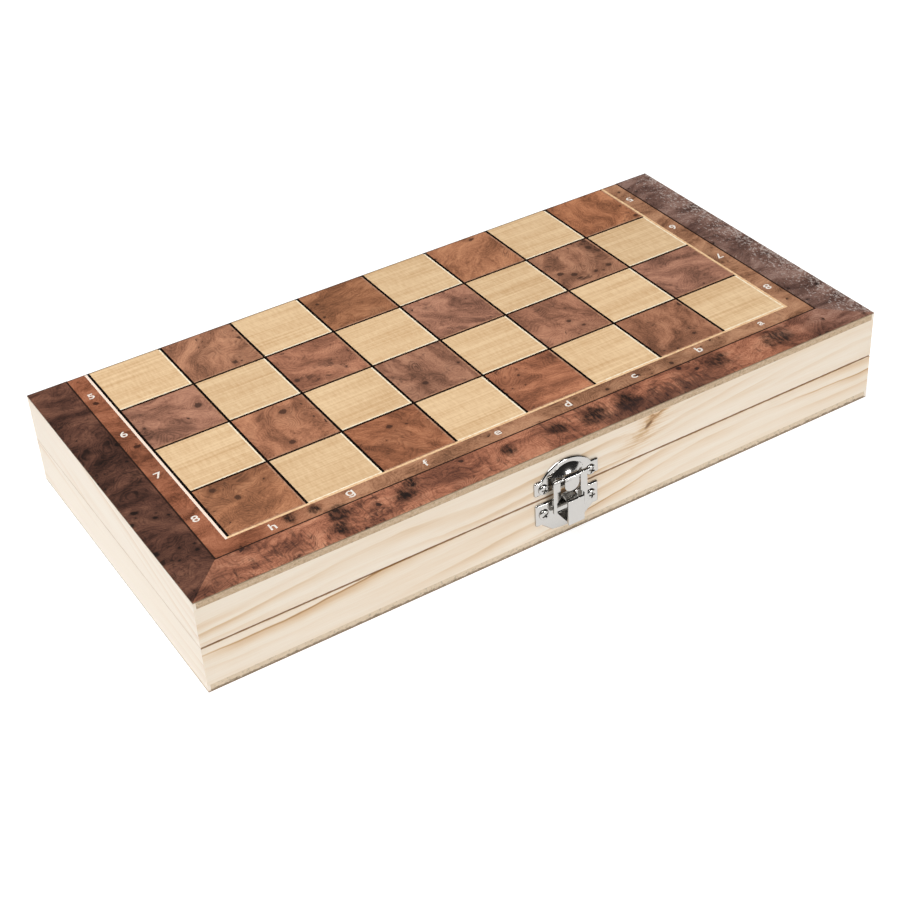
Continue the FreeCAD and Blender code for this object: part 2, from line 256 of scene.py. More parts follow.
# %% Colours and noise
def tone(red, green, blue):
    """A picked screen colour as the linear colour that a shader needs."""
    parts = []
    for value in (red, green, blue):
        share = value / 255
        parts.append(share / 12.92 if share <= 0.04045 else ((share + 0.055) / 1.055) ** 2.4)
    return (*parts, 1.0)


def noise(point, size, detail=2.0, rough=0.5, output=0):
    """Noise whose blotches are about size millimetres across."""
    inputs = {"Vector": point, "Scale": 1 / size, "Detail": detail, "Roughness": rough}
    return point.node("TexNoise", inputs=inputs, output=output)


def step(value, start, end):
    """Soft step from 0 at start to 1 at end."""
    inputs = {"Value": value, "From Min": start, "From Max": end}
    return value.node("MapRange", {"interpolation_type": "SMOOTHSTEP"}, inputs)


def mix(share, first, second, way="MIX"):
    settings = {"data_type": "RGBA", "blend_type": way}
    return share.node("Mix", settings, {0: share, 6: first, 7: second}, output=2)


def ramp(value, stops):
    return value.node("ValToRGB", {"stops": stops}, {0: value})


def bump(height, depth, strength):
    """Surface relief, with its full depth in millimetres."""
    inputs = {"Height": height, "Distance": depth * MM, "Strength": strength}
    return height.node("Bump", inputs=inputs)


print("a middle grey of 128 is", round(tone(128, 128, 128)[0], 3), "for a shader")


# %% Finishes
LACQUER = {"Roughness": 0.4, "Specular_IOR_Level": 0.22, "Coat_Weight": 0.05, "Coat_Roughness": 0.2}
RAW_WOOD = {"Roughness": 0.6, "Specular_IOR_Level": 0.3}
# Depth in millimetres and strength of a bump.
BURL_RELIEF = (0.03, 0.4)
GRAIN_RELIEF = (0.03, 0.35)


def finish(name, paint, **fixed):
    """A material: paint(place) gives what varies, fixed gives the numbers that don't."""
    material = bpy.data.materials.new(name)
    material.use_nodes = True
    tree = material.node_tree
    tree.nodes.clear()
    shader = tree.nodes.new("ShaderNodeBsdfPrincipled")
    surface = tree.nodes.new("ShaderNodeOutputMaterial")
    tree.links.new(shader.outputs[0], surface.inputs[0])
    coordinates = tree.nodes.new("ShaderNodeTexCoord")
    metres = Socket(tree, coordinates.outputs["Object"])
    place = scaled(metres, 1 / MM)
    for socket, value in paint(place).items():
        feed(tree, shader.inputs[socket], value)
    for socket, value in fixed.items():
        shader.inputs[socket.replace("_", " ")].default_value = value
    print("finish", name, len(tree.nodes), "nodes")
    return material


def dress(material, *names):
    """Gives parts their finish."""
    for name in names:
        nodes[name].data.materials.clear()
        nodes[name].data.materials.append(material)


# %% [markdown]
# ## Burl
# Burl is sliced from a knotty growth of the trunk, so its rings swirl round small dark eyes. Noise
# moves the place first, which bends everything that is painted afterwards. The rings are the level
# lines of a soft hilly field, like the lines on a map, and every eye adds a small hill of its own, so
# the rings close round it. Clouds, fibres, smoky stains and the eyes are laid over each other.

# %% Burl figure
SWIRL_SIZE = 26.0
SWIRL_PUSH = 22.0
EYE_SPACING = 5.0
EYE_LEAST = 0.3
EYE_SPREAD = 1.5
RINGS_PER_HILL = 34.0


def burl_eyes(near, grain, crowd, eye_share):
    """How far the nearest eye is, whether it shows, and its radius."""
    inputs = {"Vector": near, "Scale": 1 / EYE_SPACING}
    cells = near.node("TexVoronoi", {"voronoi_dimensions": "2D"}, inputs)
    luck = split(twin(cells, "Color"))
    shown = luck[0] < eye_share * (0.12 + 3.0 * crowd)
    apart = cells * EYE_SPACING + (grain - 0.5) * 1.6
    return apart, shown, EYE_LEAST + luck[1] * luck[1] * EYE_SPREAD


def burl(point, tones, eye_share, smoke_share):
    """Colour and relief of burl. The four tones go from dark to light, the shares from 0 to 1."""
    black, dark, middle, light = tones
    swirl = noise(point, SWIRL_SIZE, 2.0, output=1)
    bend = scaled(point.vector("SUBTRACT", swirl, (0.5, 0.5, 0.5)), SWIRL_PUSH)
    bent = point.vector("ADD", point, bend)
    near = point.vector("ADD", point, scaled(bend, 0.25))
    flow = noise(stretched(bent, 0.45, 1.1, 1.0), 9.0, 3.0, 0.55)
    fibre = noise(stretched(bent, 0.3, 1.7, 1.0), 2.0, 4.0, 0.65)
    grain = noise(stretched(bent, 0.8, 2.0, 1.0), 0.8, 2.0, 0.6)
    speck = noise(point, 0.6, 2.0, 0.7)
    crowd = step(noise(point, 17.0, 1.0), 0.52, 0.62)
    apart, shown, reach = burl_eyes(near, grain, crowd, eye_share)
    hill = shown * apart.math("POWER", 0.6, apart)
    part = (noise(bent, 20.0, 2.0, 0.45) + hill * 0.14) * RINGS_PER_HILL % 1.0
    ring = step(part, 0.25, 0.9) * (1 - step(part, 0.9, 1.0))
    shade = step(flow, 0.3, 0.7) * 0.38 + step(fibre, 0.25, 0.75) * 0.16
    shade = shade + grain * 0.3 + speck * 0.4 - ring * 0.1
    colour = ramp(shade, [(0.16, black), (0.4, dark), (0.62, middle), (0.94, light)])
    thin = 0.2 * smoke_share
    smoke = step(noise(bent, 15.0, 6.0, 0.7), 0.68 - thin, 0.8 - thin)
    smoke = (smoke + crowd * 0.35) * step(fibre + grain + ring * 0.4, 0.75, 1.3)
    colour = mix(smoke * 0.8, colour, black)
    core = shown * (1 - step(apart / reach, 0.6, 1.0))
    halo = shown * (1 - step(apart / reach, 0.8, 3.2))
    colour = mix(halo * 0.55, colour, dark)
    colour = mix(core * 0.9, colour, black)
    return colour, grain * 0.5 + fibre * 0.5 - core * 0.6


print("burl cells of", EYE_SPACING, "mm, some with an eye")

# %% One square at a time
SHEET_SHIFT = 900.0


def square_cell(place):
    """Column, row and tray of the square at a place, as one vector."""
    x, y, z = split(place)
    return joined(place, (x - FIELD_LEFT) // SQUARE, (FIELD_BACK - y) // SQUARE, z > PARTING)


def chance(cell, output=0):
    return cell.node("TexWhiteNoise", {"noise_dimensions": "3D"}, {"Vector": cell}, output)


def cut_elsewhere(place, cell, turn):
    """Each square is cut from another part of the sheet and turned, so no two look the same."""
    inputs = {"Vector": place, "Angle": chance(cell) * turn}
    turned = place.node("VectorRotate", {"rotation_type": "Z_AXIS"}, inputs)
    return place.vector("ADD", turned, scaled(chance(cell, output=1), SHEET_SHIFT))


def worn_back(place, colour):
    """The saw leaves a thin dark edge where the two half boards meet."""
    y = split(place)[1]
    return mix(0.75 * (1 - step(FIELD_BACK - y, 0.3, 0.7)), colour, tone(66, 44, 32))


print(FILES * RANKS, "squares on each tray")


# %% Dark squares
def paint_dark_square(place):
    cell = square_cell(place)
    point = cut_elsewhere(place, cell, turn=3.0)
    tones = [tone(76, 52, 42), tone(134, 90, 68), tone(172, 118, 90), tone(208, 150, 116)]
    colour, relief = burl(point, tones, eye_share=0.15, smoke_share=0.6)
    luck = split(chance(cell, output=1))
    inputs = {
        "Hue": 0.496 + 0.007 * luck[0],
        "Saturation": 0.92 + 0.2 * luck[1],
        "Value": 0.86 + 0.24 * luck[2],
        "Color": colour,
    }
    colour = place.node("HueSaturation", inputs=inputs)
    return {"Base Color": worn_back(place, colour), "Normal": bump(relief, *BURL_RELIEF)}


dark_square = finish("walnut_burl_squares", paint_dark_square, **LACQUER)
dress(dark_square, "lid_dark_squares", "base_dark_squares")


# %% [markdown]
# ## Maple
# The light squares are straight-grained maple. Long thin noise along the board gives the grain,
# and a faint noise across it gives the silky flecks that maple shows.

# %% Light squares
def straight_grain(point, light, dark, along=60.0, across=0.9):
    """Straight grain that runs along x, as colour and relief."""
    fine = noise(stretched(point, across / along, 1.0, 1.0), across, 3.0, 0.6)
    broad = noise(stretched(point, 0.12, 1.0, 1.0), 6.0, 2.0)
    fleck = noise(stretched(point, 1.0, 0.22, 1.0), 0.9, 2.0, 0.6)
    shade = fine * 0.42 + broad * 0.3 + fleck * 0.28
    return ramp(shade, [(0.34, dark), (0.6, light)]), fine * 0.6 + fleck * 0.4


def paint_light_square(place):
    cell = square_cell(place)
    point = cut_elsewhere(place, cell, turn=0.0)
    colour, relief = straight_grain(point, tone(242, 210, 167), tone(212, 172, 126))
    lightness = 0.95 + 0.09 * chance(cell)
    colour = place.node("HueSaturation", inputs={"Value": lightness, "Color": colour})
    return {"Base Color": worn_back(place, colour), "Normal": bump(relief, depth=0.02, strength=0.3)}


light_square = finish("maple_squares", paint_light_square, **LACQUER)
dress(light_square, "lid_light_squares", "base_light_squares")


# %% [markdown]
# ## Lines between the squares
# Each square has a black line on its left and far side and a fine cream line on its right and near
# side, and a cream outline runs round the field. The black line is a real line and also painted groove
# shade, darker on a square's left side than on its far side. The fine line is a painted highlight on
# the groove's edge, cream beside maple and pinkish brown beside burl. One part carries them all, so the
# finish works out from the place inside a square which line it is.

# %% Lines
def paint_lines(place):
    x, y = split(place)[:2]
    across = (x - FIELD_LEFT) % SQUARE
    down = (FIELD_BACK - y) % SQUARE
    inside = (x > FIELD_LEFT) * (x < FIELD_LEFT + FILES * SQUARE) * (y > FIELD_FRONT)
    black = ((across < DARK_LINE) + (down < DARK_LINE) > 0.5) * inside
    column, row, tray = split(square_cell(place))
    dark_wood = (column + row + tray + 1.0) % 2.0
    worn = noise(place, 1.2, 3.0)
    cream = ramp(worn, [(0.3, tone(244, 216, 176)), (0.6, tone(255, 242, 216))])
    blush = ramp(worn, [(0.3, tone(150, 104, 80)), (0.6, tone(186, 140, 112))])
    outline = ramp(worn, [(0.3, tone(226, 178, 132)), (0.6, tone(244, 208, 164))])
    # Painted highlight: the fine line on a square's right and near side takes its square's colour, cream or
    # pinkish brown.
    pale = mix(dark_wood, cream, blush)
    # Painted groove shade: the black line is darker on a square's left side than on its far side.
    ink = mix(across < DARK_LINE, tone(40, 24, 14), tone(14, 8, 5))
    outline = mix(x < FIELD_LEFT, outline, tone(252, 230, 212))
    colour = mix(black, mix(inside, outline, pale), ink)
    return {"Base Color": worn_back(place, colour)}


line_finish = finish("black_and_cream_lines", paint_lines, Roughness=0.5, Specular_IOR_Level=0.1)
dress(line_finish, "lid_line_inlay", "base_line_inlay")


# %% [markdown]
# ## Band and border
# A narrow burl band carries the letters and numbers, and a wide burl border closes the edge. On
# the real board the left strip is almost black, the front strip is red brown with dark knots and a
# dark fringe right of the latch, and the right strip is dull purple brown with pale worn flecks. The
# mitre lines tell the strips apart, and the front strip's ends take on some of the side strips' colour.

# %% Knots of the front strip
FRONT_KNOTS = [
    (-98, -49, 3.2), (-89, -50, 2.8), (-83, -57, 5.5), (-87, -64, 4.5), (-60, -61, 5.5), (-55, -57, 4.0),
    (-18, -61, 4.0), (3, -60, 4.5), (19, -61, 7.0), (33, -62, 6.5), (76, -60, 6.0), (104, -61, 8.5),
]


def knotted(place, colour):
    """Dark ragged knots at a few places of the front strip, with paler wood between their fibres."""
    x, y = split(place)[:2]
    flat = joined(place, x, y, 0.0)
    ragged = (noise(place, 4.0, 5.0, 0.7) - 0.5) * 1.7
    streak = noise(stretched(place, 1.6, 0.5, 1.0), 1.6, 4.0, 0.7)
    knots = 0.0
    for knot_x, knot_y, reach in FRONT_KNOTS:
        apart = distance(flat, (knot_x, knot_y, 0.0))
        knots = ragged.math("MAXIMUM", knots, 1 - step(apart / reach + ragged, 0.35, 1.15))
    return mix(knots * (0.45 + 0.55 * step(streak, 0.34, 0.6)), colour, tone(38, 29, 26))


print(len(FRONT_KNOTS), "knots on the front strip and its band")

# %% Band
RED_TINT = (0.84, 0.62, 0.58, 1.0)
TINT_LENGTH = 55.0


def paint_band(place):
    tones = [tone(64, 46, 38), tone(132, 92, 68), tone(172, 124, 94), tone(204, 156, 122)]
    colour, relief = burl(place, tones, eye_share=0.2, smoke_share=0.35)
    colour = knotted(place, colour)
    x = split(place)[0]
    colour = mix(1 - step(x, FIELD_LEFT, FIELD_LEFT + TINT_LENGTH), colour, RED_TINT, "MULTIPLY")
    return {"Base Color": worn_back(place, colour), "Normal": bump(relief, *BURL_RELIEF)}


band_finish = finish("burl_band", paint_band, **LACQUER)
dress(band_finish, "lid_coordinate_band", "base_coordinate_band")

# %% Front strip
RED_BROWN = [tone(48, 35, 32), tone(126, 79, 61), tone(176, 115, 88), tone(219, 157, 124)]
# Where along x the dark fringe comes and goes, and where the ends begin, in millimetres.
FRINGE_START = (12.0, 24.0)
FRINGE_END = (60.0, 84.0)
LEFT_END = (-144.0, -112.0)
RIGHT_END = (95.0, 135.0)


def front_strip(place, rim, left, right):
    """Colour and relief of the front strip; rim is the way to the board's outer edge."""
    x = split(place)[0]
    colour, relief = burl(place, RED_BROWN, eye_share=0.1, smoke_share=0.55)
    curl = step(noise(stretched(place, 1.0, 0.2, 1.0), 1.5, 3.0, 0.6), 0.5, 0.66)
    colour = mix(curl * step(noise(place, 24.0, 1.0), 0.45, 0.6) * 0.6, colour, RED_BROWN[0])
    colour = knotted(place, colour)
    comb = noise(stretched(place, 1.0, 0.15, 1.0), 0.9, 3.0, 0.65)
    inward = rim + (noise(place, 6.0, 2.0) - 0.5) * 14.0
    spread = step(x, *FRINGE_START) * (1 - step(x, *FRINGE_END))
    fringe = spread * step(comb - inward * 0.045, 0.0, 0.3)
    colour = mix(fringe * (0.6 + 0.3 * curl), colour, tone(50, 38, 37))
    colour = mix((1 - step(x, *LEFT_END)) * 0.4, colour, left)
    return mix(step(x, *RIGHT_END) * 0.7, colour, right), relief


print("dark fringe from", FRINGE_START[0], "to", FRINGE_END[1], "mm")

# %% Border
GLOOM = [tone(28, 21, 19), tone(66, 43, 36), tone(100, 66, 54), tone(142, 98, 78)]
DUSK = [tone(46, 33, 30), tone(90, 65, 58), tone(128, 97, 86), tone(170, 140, 128)]
CUT_EDGE = 0.03


def paint_border(place):
    x, y = split(place)[:2]
    out_front = FIELD_FRONT - y
    out_side = x.math("ABSOLUTE", x) + FIELD_LEFT
    out = out_side.math("MAXIMUM", out_side, out_front)
    rim = (FIELD_LEFT - edge_low.x) - out
    left = burl(place, GLOOM, eye_share=0.3, smoke_share=0.8)[0]
    right = burl(place, DUSK, eye_share=0.15, smoke_share=0.3)[0]
    front, relief = front_strip(place, rim, left, right)
    worn = noise(stretched(place, 1.0, 0.6, 1.0), 0.9, 2.0, 0.75)
    specks = step(worn - rim * 0.012, 0.47, 0.56)
    right = mix(specks * 0.6, right, tone(206, 192, 184))
    colour = mix(out_side > out_front, front, mix(x > 0.0, left, right))
    colour = mix(1 - step(out, BAND_EDGE + 0.45, BAND_EDGE + 0.75), colour, tone(40, 26, 20))
    colour = mix(rim < CUT_EDGE, colour, tone(138, 118, 92))
    return {"Base Color": worn_back(place, colour), "Normal": bump(relief, *BURL_RELIEF)}


border_finish = finish("burl_border", paint_border, **LACQUER)
dress(border_finish, "lid_border_veneer", "base_border_veneer")

# %% [markdown]
# ## Pine rails
# The rails are plain-sawn pine. The saw cuts the growth rings at a slight slant, so they show as long
# streaks that drift across the rail. The colour deepens slowly through a ring and then drops back to
# pale. A knot pushes the rings aside, as a stone does in a stream: the front of the lid has one beside
# the latch, small, dark and slanted. The edges where the trays meet get a brown painted shade for the
# parting line, strong on the long rails and faint on the ends.

# %% Pine
RING_WIDTH = 5.6
STREAK_SLOPE = 0.07
WANDER = 20.0
PINE_STOPS = [
    (0.0, tone(243, 230, 212)), (0.3, tone(235, 213, 186)),
    (0.6, tone(216, 182, 142)), (1.0, tone(176, 132, 88)),
]


def pine(point, drift, contrast, knot=0.0):
    """Pale pine whose grain runs along the first axis of point."""
    length, depth, height = split(point)
    wander = noise(joined(point, length * 0.01, depth * 0.05, height * 0.02 + drift), 1.0, 0.0)
    rise = height - length * STREAK_SLOPE + (wander - 0.5) * WANDER
    rise = rise + (noise(point, 14.0, 2.0) - 0.5) * 1.2 + knot * 7.0 + depth * 0.6
    ring = rise / RING_WIDTH + drift
    part = ring % 1.0
    late = step(part, 0.1, 0.9) * (1 - step(part, 0.9, 1.0))
    strong = chance(joined(point, ring // 1.0, drift, 0.0))
    fade = step(noise(joined(point, length * 0.009, ring * 0.4, drift), 1.0, 2.0), 0.4, 0.65)
    line = step(part, 0.8, 0.9) * (1 - step(part, 0.9, 0.97)) * (strong > 0.6) * fade
    fibre = noise(stretched(point, 0.03, 1.0, 1.0), 0.6, 3.0, 0.6)
    blush = noise(stretched(point, 0.06, 1.0, 1.0), 6.0, 2.0)
    shade = late * fade * (0.12 + 0.4 * strong) + line * 0.35 + (fibre - 0.5) * 0.24 + (blush - 0.5) * 0.3
    shade = shade * contrast + knot * 0.75 * step(fibre + knot * 0.3, 0.4, 0.75) + 0.06
    return ramp(shade, PINE_STOPS), fibre * 0.7 + late * 0.3


def parting_shade(place, colour, inset, share):
    """Painted brown shade of the parting line: the edges at the parting, close to the outside of the box."""
    z = split(place)[2]
    apart = z.math("ABSOLUTE", z - PARTING) + noise(place, 3.0, 2.0) * 0.5
    # Painted shade: brown close to the parting plane and to the box's outside.
    gap_shade_mask = (1 - step(apart, 0.45, 0.85)) * (1 - step(inset, 0.3, 1.0))
    return mix(gap_shade_mask * share, colour, tone(158, 112, 62))


print("pine with a ring every", RING_WIDTH, "mm")

# %% Rails
# The knot beside the latch: its place and the way it leans, both as x and z.
KNOT_PLACE = (36.5, 32.0)
KNOT_LEAN = (0.8, 0.6)


def paint_long_rail(place):
    x, y, z = split(place)
    drift = (y > 0.0) * 9.3 + (z > PARTING) * 23.4
    point = joined(place, x, y * (1 - 2 * (y > 0.0)) - edge_low.y, z - PARTING)
    knot_x, knot_z = KNOT_PLACE
    lean_x, lean_z = KNOT_LEAN
    along = (x - knot_x) * lean_x + (z - knot_z) * lean_z
    across = (z - knot_z) * lean_x - (x - knot_x) * lean_z
    apart = distance(joined(place, along * 0.3, across * 0.8, (y - edge_low.y) * 0.3), (0.0, 0.0, 0.0))
    knot = apart.math("POWER", 0.72, apart + (noise(place, 1.5, 3.0) - 0.5) * 2.0)
    colour, relief = pine(point, drift, contrast=1.4, knot=knot)
    colour = mix((1 - step(apart, 0.35, 0.8)) * 0.8, colour, tone(120, 84, 50))
    inset = y.math("MINIMUM", y - edge_low.y, FIELD_BACK - y)
    return {"Base Color": parting_shade(place, colour, inset, share=0.85), "Normal": bump(relief, *GRAIN_RELIEF)}


def paint_end_rail(place):
    x, y, z = split(place)
    drift = 47.6 + (x > 0.0) * 13.1 + (z > PARTING) * 29.8
    inset = edge_high.x - x.math("ABSOLUTE", x)
    # Painted light: the ends are paler, with less contrast and colour, to copy the washed-out, brightly lit
    # left end.
    colour, relief = pine(joined(place, y, inset, z - PARTING), drift, contrast=0.6)
    colour = place.node("HueSaturation", inputs={"Saturation": 0.8, "Value": 1.01, "Color": colour})
    return {"Base Color": parting_shade(place, colour, inset, share=0.25), "Normal": bump(relief, *GRAIN_RELIEF)}


long_rail = finish("pine_long_rails", paint_long_rail, **RAW_WOOD)
end_rail = finish("pine_end_rails", paint_end_rail, **RAW_WOOD)
for tray in ("base", "lid"):
    dress(long_rail, f"{tray}_front_rail", f"{tray}_back_rail")
    dress(end_rail, f"{tray}_left_rail", f"{tray}_right_rail")


# %% [markdown]
# ## Fibreboard
# The thin board that closes each tray shows only its sawn edge: tan, a little rough and without
# any grain. Two noises of different size give the pressed fibres, and a third gives dark flecks. The
# lowest edge is darkened with painted shade where the box meets the floor.

# %% Panels
def paint_fibreboard(place):
    coarse = noise(stretched(place, 0.4, 0.4, 1.0), 0.9, 3.0, 0.7)
    fine = noise(place, 0.3, 2.0, 0.6)
    shade = coarse * 0.6 + fine * 0.4
    stops = [(0.3, tone(172, 144, 114)), (0.5, tone(202, 176, 146)), (0.7, tone(222, 202, 176))]
    z = split(place)[2]
    colour = mix((z < PARTING) * 0.5, ramp(shade, stops), tone(244, 228, 204))
    # Painted shade: the lowest edge darkens where the box meets the floor; the flecks are the board's own.
    bottom_edge_shade = 1 - step(z - UNDERSIDE + (coarse - 0.5) * 3.0, 0.6, 1.4)
    flecks = step(noise(place, 1.2, 3.0, 0.7), 0.54, 0.66)
    colour = mix(bottom_edge_shade.math("MAXIMUM", bottom_edge_shade * 0.85, flecks * 0.4), colour, tone(124, 106, 80))
    return {"Base Color": colour, "Normal": bump(shade, depth=0.05, strength=0.5)}


fibreboard = finish("fibreboard_edge", paint_fibreboard, Roughness=0.8, Specular_IOR_Level=0.2)
dress(fibreboard, "lid_panel", "base_panel")


# %% [markdown]
# ## Backgammon inside
# The trays are lined with a brown wood sheet, and dark and pale points are let into it. The inside
# doesn't show in the photograph, so these are plain straight-grained woods of the same family.

# %% Field and points
def wood_sheet(light, dark):
    def paint(place):
        colour, relief = straight_grain(place, light, dark, along=90.0, across=1.4)
        return {"Base Color": colour, "Normal": bump(relief, *GRAIN_RELIEF)}
    return paint


field_finish = finish("inside_field", wood_sheet(tone(196, 146, 96), tone(164, 112, 70)), Roughness=0.5)
dark_point = finish("dark_points", wood_sheet(tone(104, 62, 44), tone(70, 40, 30)), Roughness=0.48)
light_point = finish("light_points", wood_sheet(tone(240, 214, 170), tone(218, 184, 134)), Roughness=0.48)
for tray in ("base", "lid"):
    dress(field_finish, f"{tray}_backgammon_field")
    dress(dark_point, f"{tray}_dark_points")
    dress(light_point, f"{tray}_light_points")


# %% [markdown]
# ## Nickel
# The latch and the hinges are pressed from steel strip and nickel plated. Polished plate mirrors
# the room, so the finish itself is only a warm grey metal with faint polishing marks. The catch tongue
# gets a near-black metal finish, a painted shade that stands for the shade inside the hasp's window.

# %% Nickel
NICKEL_COLOUR = (0.50, 0.485, 0.465, 1.0)
TONGUE_SHADE_COLOUR = (0.09, 0.085, 0.08, 1.0)


def paint_nickel(place):
    rub = noise(stretched(place, 0.3, 1.0, 2.0), 0.6, 3.0, 0.6)
    cloud = noise(place, 6.0, 2.0)
    rough = 0.08 + 0.06 * rub + 0.05 * cloud
    return {"Roughness": rough, "Normal": bump(rub, depth=0.004, strength=0.3)}


nickel = finish("polished_nickel", paint_nickel, Base_Color=NICKEL_COLOUR, Metallic=1.0)
# Painted shade: near-black metal for the catch tongue, so the hasp's window looks dark.
tongue_shade_metal = finish("tongue_shade_metal", paint_nickel, Base_Color=TONGUE_SHADE_COLOUR, Metallic=1.0)

# %% [markdown]
# ## Rolled edges
# A press leaves strip metal with rounded edges, and those thin curves catch the dark room and the
# light floor as black and white lines. A CAD part has sharp edges, so a copy of each latch and
# hinge part gets its outward edges bevelled, the outlines of the two latch plates more than the rest.
# The part comes as loose triangles: its doubles are merged and its flat faces joined first, because a
# bevel needs to see real edges. Normals weighted by area keep the flats flat.

# %% Edges and stand-ins
SHARP_ANGLE = math.radians(35)


def sharp_edges(made, chosen):
    """Outward edges of more than the sharp angle that pass a test."""
    edges = [edge for edge in made.edges if len(edge.link_faces) == 2]
    return [edge for edge in edges if edge.calc_face_angle_signed(0.0) > SHARP_ANGLE and chosen(edge)]


def roll(made, edges, radius, steps, clamp):
    bmesh.ops.bevel(made, geom=edges, offset=radius * MM, segments=steps, profile=0.5,
                    affect="EDGES", clamp_overlap=clamp)


def frozen(holder, name):
    """The object's mesh with its modifiers worked in; the object is removed."""
    ready = holder.evaluated_get(bpy.context.evaluated_depsgraph_get())
    data = bpy.data.meshes.new_from_object(ready)
    data.name = name
    bpy.data.objects.remove(holder)
    return data


def stand_in(name, data, body, node):
    """A finished piece that rides on a body and stands for a CAD part."""
    piece = in_scene(bpy.data.objects.new(name, data))
    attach(piece, body)
    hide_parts(node)
    return piece


print("edges over", round(math.degrees(SHARP_ANGLE)), "degrees get rolled")

# %% [markdown]
# ## The round hood
# The hasp plate's hood is part of a ball, but its mesh has only a few large triangles. A mirror shows
# that at once, so the corners on the ball get the ball's own normals.

# %% Hood
# The ball that the CAD model's hood is part of, in millimetres.
HOOD_MIDDLE = Vector((0.0, -61.914, 23.844))
HOOD_RADIUS = 11.786
ON_BALL = 0.02


def round_hood(data):
    """Normals of the ball for the corners that lie on it; the others keep theirs."""
    normals = []
    for polygon in data.polygons:
        for index in polygon.loop_indices:
            spoke = data.vertices[data.loops[index].vertex_index].co / MM - HOOD_MIDDLE
            on_ball = abs(spoke.length - HOOD_RADIUS) < ON_BALL
            looks_out = polygon.normal.dot(spoke) > 0.9 * HOOD_RADIUS
            flat = data.corner_normals[index].vector.copy()
            normals.append(spoke.normalized() if on_ball and looks_out else flat)
    data.normals_split_custom_set(normals)


print("hood of", HOOD_RADIUS, "mm radius")

# %% Rolled edges
# What counts as the same point and the same level, in metres, as the meshes are.
WELD = 1e-6
LEVEL = 1e-5
FLAT_ANGLE = math.radians(0.5)
SHADE_ANGLE = math.radians(28)
# The tongue stands out more than this from its plate; the rest are edge radii, all in millimetres.
TONGUE_RISE = 0.4
OUTLINE_ROLL = 0.8
PLATE_ROLL = 0.2
HASP_ROLL = 0.25
LEAF_ROLL = 0.15


def rolled_mesh(node, outline_radius, edge_radius, worn):
    """A copy of a part's mesh with rolled edges; if worn is set, faces in front of the plate take the second
    finish, a painted shade.
    """
    made = bmesh.new()
    made.from_mesh(nodes[node].data)
    bmesh.ops.remove_doubles(made, verts=made.verts, dist=WELD)
    bmesh.ops.dissolve_limit(made, angle_limit=FLAT_ANGLE, verts=made.verts, edges=made.edges)
    facing = [face for face in made.faces if face.normal.y < -0.99]
    face_y = max(facing, key=lambda face: face.calc_area()).calc_center_median().y if facing else 0.0
    back_y = max(vertex.co.y for vertex in made.verts)

    def outline(edge):
        return all(abs(vertex.co.y - face_y) < LEVEL for vertex in edge.verts)

    def raised(edge):
        return all(vertex.co.y < face_y - LEVEL for vertex in edge.verts)

    def not_back(edge):
        return any(abs(vertex.co.y - back_y) > LEVEL for vertex in edge.verts)

    if outline_radius:
        roll(made, sharp_edges(made, raised), edge_radius, steps=3, clamp=True)
        roll(made, sharp_edges(made, outline), outline_radius, steps=4, clamp=False)
    else:
        roll(made, sharp_edges(made, not_back), edge_radius, steps=3, clamp=True)
    tongue_y = face_y - TONGUE_RISE * MM
    for face in made.faces:
        face.smooth = True
        face.material_index = int(worn and all(vertex.co.y < tongue_y for vertex in face.verts))
    data = bpy.data.meshes.new(node)
    made.to_mesh(data)
    made.free()
    return data


def rolled_copy(node, body, outline_radius, edge_radius, worn=False):
    data = rolled_mesh(node, outline_radius, edge_radius, worn)
    data.set_sharp_from_angle(angle=SHADE_ANGLE)
    data.materials.append(nickel)
    # The second finish is the near-black painted shade of the catch tongue.
    if worn:
        data.materials.append(tongue_shade_metal)
    holder = in_scene(bpy.data.objects.new(node, data))
    even = holder.modifiers.new("even_shading", "WEIGHTED_NORMAL")
    even.keep_sharp = True
    even.mode = "FACE_AREA_WITH_ANGLE"
    data = frozen(holder, node + "_rolled")
    round_hood(data)
    print(node, len(data.polygons), "faces")
    return stand_in(node + "_rolled", data, body, node)


rolled_copy("latch_hasp_plate", "lid", OUTLINE_ROLL, PLATE_ROLL)
# worn=True gives the catch tongue the near-black painted shade finish.
rolled_copy("latch_catch_plate", "base", OUTLINE_ROLL, PLATE_ROLL, worn=True)
rolled_copy("latch_hasp", "hasp", 0.0, HASP_ROLL)
for side in ("left", "right"):
    rolled_copy(f"hinge_{side}_base_leaf", "base", 0.0, LEAF_ROLL)
    rolled_copy(f"hinge_{side}_lid_leaf", "lid", 0.0, LEAF_ROLL)
dress(nickel, "hinge_left_pin", "hinge_right_pin")

# %% [markdown]
# ## Screws
# Four pan-head screws hold the latch and eight sunk screws hold the hinges, all with a cross
# recess. They repeat, so one Geometry Nodes tree makes a screw from named sizes and sets it on
# every point that it is given, each turned by a chance amount, as a hand leaves them. Booleans cut
# the cross. The modifier's result is kept as a plain mesh.

# %% Screw tree
SCREW_SIZES = [
    "Head Radius", "Rim Height", "Head Rise", "Neck Radius", "Neck Depth",
    "Shank Radius", "Shank Length", "Cross Width", "Cross Reach", "Cross Depth",
]
HEAD_SIDES = 48
DOME_RINGS = 24
SHANK_SIDES = 32
TIP_SHARE = 0.25


def screw_inputs(tree):
    """The tree's sockets; the inputs come back by name."""
    kinds = {name: "Float" for name in SCREW_SIZES}
    kinds.update({"Least Turn": "Vector", "Most Turn": "Vector", "Seed": "Int", "Finish": "Material"})
    tree.interface.new_socket("Places", in_out="INPUT", socket_type="NodeSocketGeometry")
    for name, kind in kinds.items():
        tree.interface.new_socket(name, in_out="INPUT", socket_type="NodeSocket" + kind)
    tree.interface.new_socket("Screws", in_out="OUTPUT", socket_type="NodeSocketGeometry")
    given = tree.nodes.new("NodeGroupInput")
    return {socket.name: Socket(tree, socket) for socket in given.outputs if socket.name}


